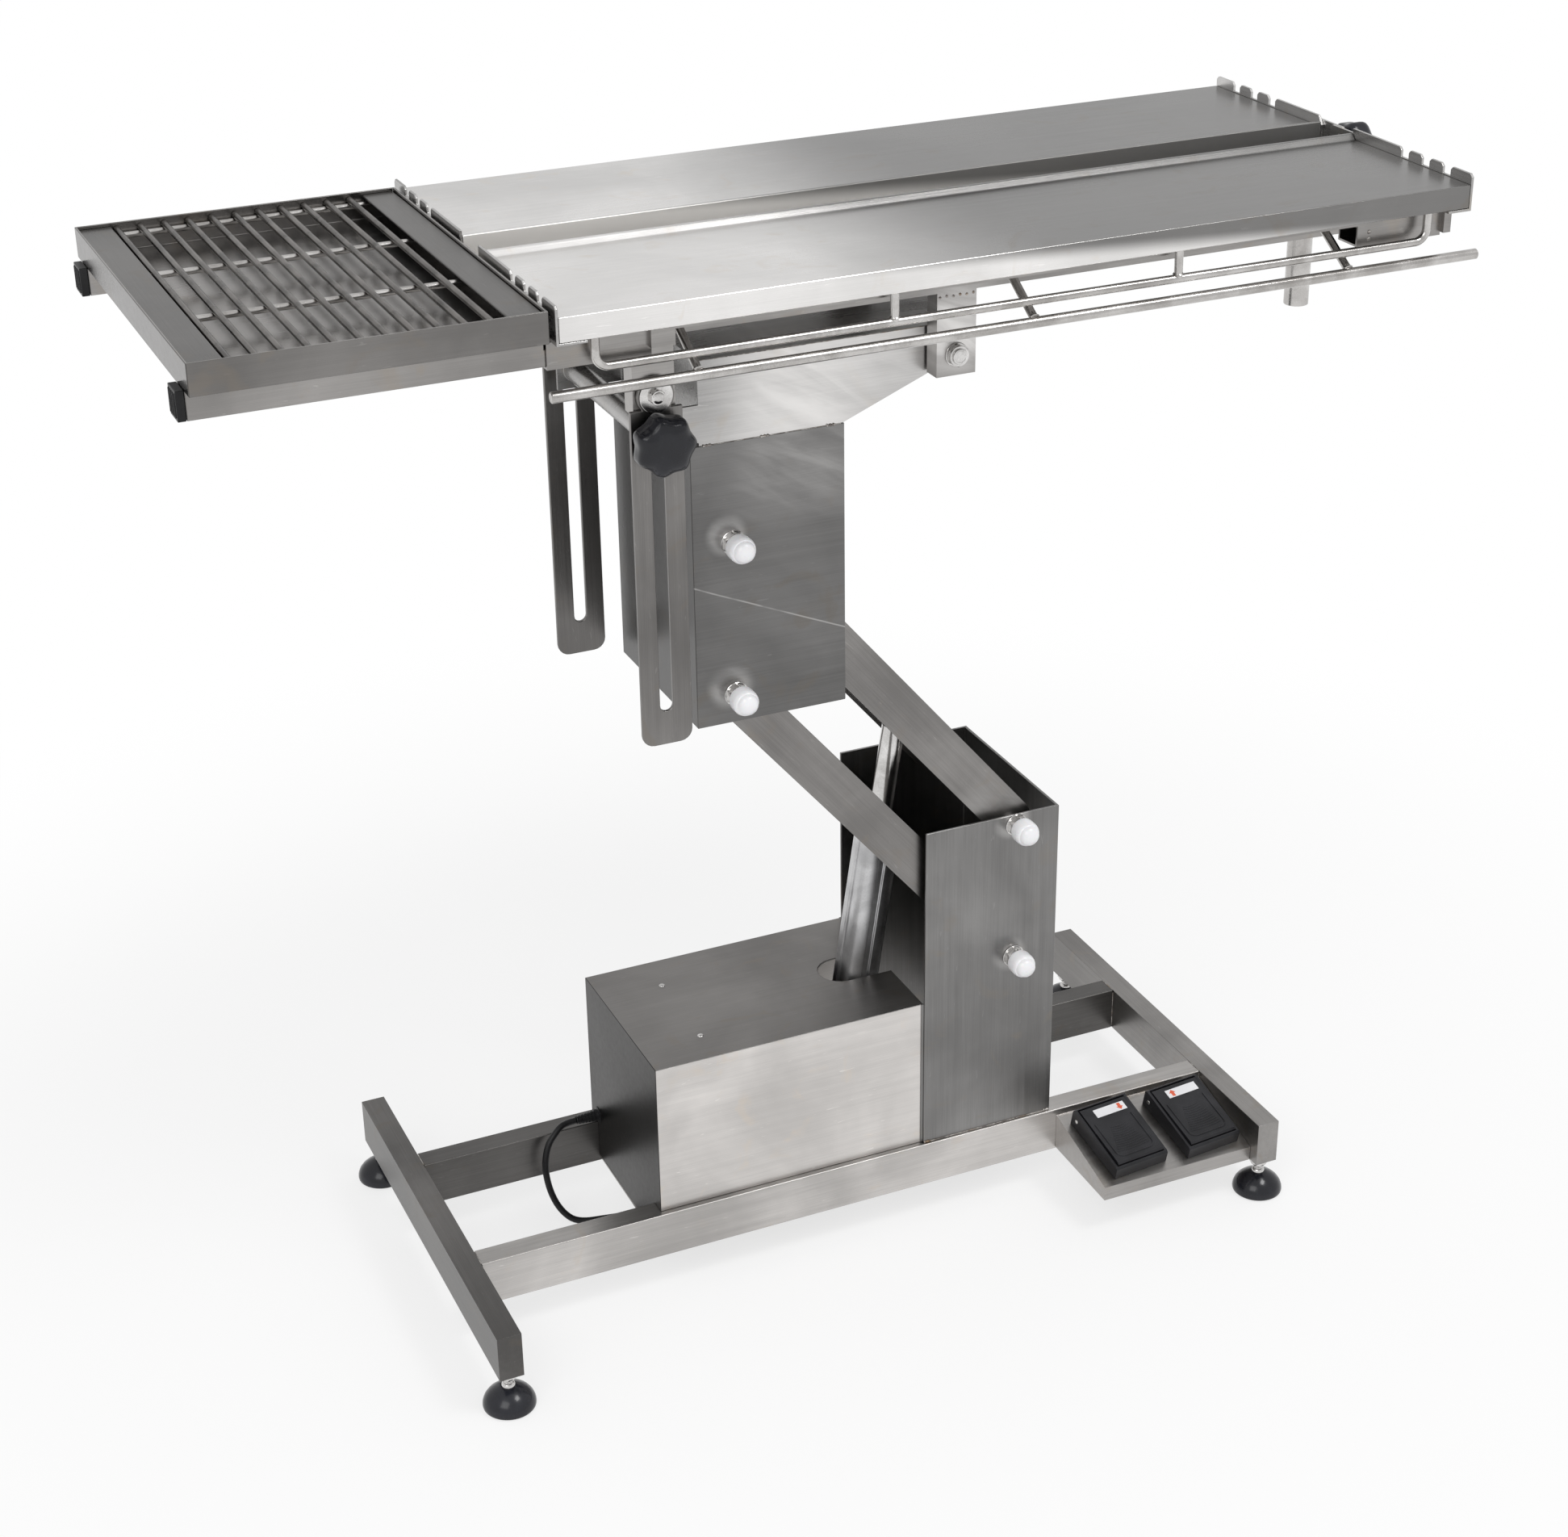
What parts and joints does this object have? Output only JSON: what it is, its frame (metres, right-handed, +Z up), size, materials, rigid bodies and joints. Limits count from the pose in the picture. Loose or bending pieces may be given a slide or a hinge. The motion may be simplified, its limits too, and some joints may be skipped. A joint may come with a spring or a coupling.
{
  "type": "veterinary examination table",
  "caption": "Stainless veterinary table with a two-panel V top, central gutter, tilting frame, parallel-arm motor lift, grille tray and foot switches.",
  "frame": {"origin": "on the floor, under the middle of the bounding box of the table without its cord", "axes": "+X along the table from the extension tray to the head end, +Y away from the side with the star knob, +Z up"},
  "size_m": [1.2517, 0.479, 1.098],
  "materials": {
    "steel_frame": "brushed",
    "steel_sheet": "fine brushed",
    "bright_hardware": "polished",
    "black_plastic": "semi-gloss",
    "grey_drive": "satin",
    "white_caps": "satin",
    "foot_pads": "semi-gloss",
    "cord_rubber": "matte"
  },
  "bodies": {
    "base": {"cross_tube_left": "steel_frame", "cross_tube_right": "steel_frame", "base_rail_front": "steel_frame", "base_rail_back": "steel_frame", "lower_column": "steel_frame", "drive_cover": "steel_frame", "drive_floor": "steel_frame", "control_box": "grey_drive", "actuator_clevis": "steel_frame", "pedal_shelf": "steel_frame", "pedal_base_down": "black_plastic", "pedal_base_up": "black_plastic", "pivot_bolt_lower_arm_base": "bright_hardware", "pivot_bolt_upper_arm_base": "bright_hardware", "pivot_cap_lower_arm_base": "white_caps", "pivot_cap_upper_arm_base": "white_caps", "cord_gland": "black_plastic", "cord_lead": "cord_rubber", "cord_coil": "cord_rubber", "cord_plug": "cord_rubber"},
    "foot_1": {"foot_1": "foot_pads"},
    "foot_2": {"foot_2": "foot_pads"},
    "foot_3": {"foot_3": "foot_pads"},
    "foot_4": {"foot_4": "foot_pads"},
    "pedal_down": {"pedal_down": "black_plastic"},
    "pedal_up": {"pedal_up": "black_plastic"},
    "lower_arm": {"lower_arm": "steel_frame"},
    "upper_arm": {"upper_arm": "steel_frame"},
    "lift_head": {"upper_column": "steel_frame", "tilt_head": "steel_frame", "pivot_bolt_lower_arm_top": "bright_hardware", "pivot_bolt_upper_arm_top": "bright_hardware", "pivot_cap_lower_arm_top": "white_caps", "pivot_cap_upper_arm_top": "white_caps"},
    "actuator_body": {"actuator_body": "grey_drive"},
    "actuator_rod": {"actuator_rod": "bright_hardware"},
    "top_frame": {"frame_front": "steel_frame", "frame_back": "steel_frame", "gutter": "steel_frame", "side_rail_front": "steel_frame", "side_rail_back": "steel_frame", "tilt_axle": "bright_hardware", "stay_bolt_front": "bright_hardware", "stay_bolt_back": "bright_hardware"},
    "stay_front": {"stay_front": "steel_frame"},
    "stay_back": {"stay_back": "steel_frame"},
    "clamp_knob": {"clamp_knob": "black_plastic"},
    "v_lock_knob": {"v_lock_knob": "black_plastic"},
    "panel_front": {"panel_front": "steel_sheet", "rod_rail_front": "steel_sheet", "end_plate_left_front": "steel_sheet", "end_plate_right_front": "steel_sheet"},
    "panel_back": {"panel_back": "steel_sheet", "rod_rail_back": "steel_sheet", "end_plate_left_back": "steel_sheet", "end_plate_right_back": "steel_sheet"},
    "tray": {"tray_pan": "steel_sheet", "tray_rail_cap_front": "black_plastic", "tray_rail_cap_back": "black_plastic"},
    "tray_grille": {"tray_grille": "steel_sheet"}
  },
  "joints": [
    {"name": "foot_1_turn", "type": "hinge", "parent": "base", "child": "foot_1", "pos_m": [-0.4167, -0.213, 0], "axis": [0, 0, 1], "continuous": true},
    {"name": "foot_2_turn", "type": "hinge", "parent": "base", "child": "foot_2", "pos_m": [-0.4167, 0.213, 0], "axis": [0, 0, 1], "continuous": true},
    {"name": "foot_3_turn", "type": "hinge", "parent": "base", "child": "foot_3", "pos_m": [0.4383, -0.213, 0], "axis": [0, 0, 1], "continuous": true},
    {"name": "foot_4_turn", "type": "hinge", "parent": "base", "child": "foot_4", "pos_m": [0.4383, 0.213, 0], "axis": [0, 0, 1], "continuous": true},
    {"name": "lift", "type": "hinge", "parent": "base", "child": "lower_arm", "pos_m": [0.1908, 0, 0.296], "axis": [0, 1, 0], "range_deg": [-48, 3]},
    {"name": "upper_arm_swing", "type": "hinge", "parent": "base", "child": "upper_arm", "pos_m": [0.1908, 0, 0.45], "axis": [0, 1, 0], "range_deg": [-48, 3]},
    {"name": "column_level", "type": "hinge", "parent": "lower_arm", "child": "lift_head", "pos_m": [-0.11131, 0, 0.65604], "axis": [0, 1, 0], "range_deg": [-3, 48]},
    {"name": "actuator_swing", "type": "hinge", "parent": "base", "child": "actuator_body", "pos_m": [0.0358, 0, 0.104], "axis": [0, 1, 0], "range_deg": [-6.4, 0.5]},
    {"name": "actuator_extend", "type": "slide", "parent": "actuator_body", "child": "actuator_rod", "axis": [0.1517, 0, 0.9884], "range_m": [-0.102, 0.0065]},
    {"name": "tilt", "type": "hinge", "parent": "lift_head", "child": "top_frame", "pos_m": [0.10519, 0, 0.96534], "axis": [0, 1, 0], "range_deg": [0, 30]},
    {"name": "stay_swing_front", "type": "hinge", "parent": "top_frame", "child": "stay_front", "pos_m": [-0.18931, -0.115, 0.96934], "axis": [0, 1, 0], "range_deg": [-17.5, 0]},
    {"name": "stay_swing_back", "type": "hinge", "parent": "top_frame", "child": "stay_back", "pos_m": [-0.18931, 0.115, 0.96934], "axis": [0, 1, 0], "range_deg": [-17.5, 0]},
    {"name": "clamp_knob_turn", "type": "hinge", "parent": "lift_head", "child": "clamp_knob", "pos_m": [-0.18931, -0.137, 0.92934], "axis": [0, 1, 0], "range_deg": [0, 360]},
    {"name": "v_lock_knob_turn", "type": "hinge", "parent": "top_frame", "child": "v_lock_knob", "pos_m": [0.6078, 0, 1.06804], "axis": [1, 0, 0], "range_deg": [0, 360]},
    {"name": "panel_raise_front", "type": "hinge", "parent": "top_frame", "child": "panel_front", "pos_m": [0.1378, -0.029, 1.06274], "axis": [-1, 0, 0], "range_deg": [0, 35]},
    {"name": "panel_raise_back", "type": "hinge", "parent": "top_frame", "child": "panel_back", "pos_m": [0.1378, 0.029, 1.06274], "axis": [1, 0, 0], "range_deg": [0, 35]},
    {"name": "tray_pull", "type": "slide", "parent": "top_frame", "child": "tray", "axis": [-1, 0, 0], "range_m": [0, 0.085]},
    {"name": "grille_lift", "type": "slide", "parent": "tray", "child": "tray_grille", "axis": [0, 0, 1], "range_m": [0, 0.06]},
    {"name": "pedal_down_press", "type": "hinge", "parent": "base", "child": "pedal_down", "pos_m": [0.28891, -0.1311, 0.08982], "axis": [0.9969, 0.0761, 0.0192], "range_deg": [0, 4.5], "stiffness_Nm_per_rad": 3, "springref_deg": -5.73},
    {"name": "pedal_up_press", "type": "hinge", "parent": "base", "child": "pedal_up", "pos_m": [0.37791, -0.1311, 0.08982], "axis": [0.9969, 0.0761, 0.0192], "range_deg": [0, 4.5], "stiffness_Nm_per_rad": 3, "springref_deg": -5.73}
  ],
  "couplings": [
    {"joint": "upper_arm_swing", "follows": "lift", "ratio": 1},
    {"joint": "column_level", "follows": "lift", "ratio": -1},
    {"joint": "actuator_swing", "follows": "lift", "ratio": 0.13},
    {"joint": "actuator_extend", "follows": "lift", "m_per_rad": 0.1205},
    {"joint": "stay_swing_front", "follows": "tilt", "ratio": -0.578},
    {"joint": "stay_swing_back", "follows": "tilt", "ratio": -0.578}
  ]
}
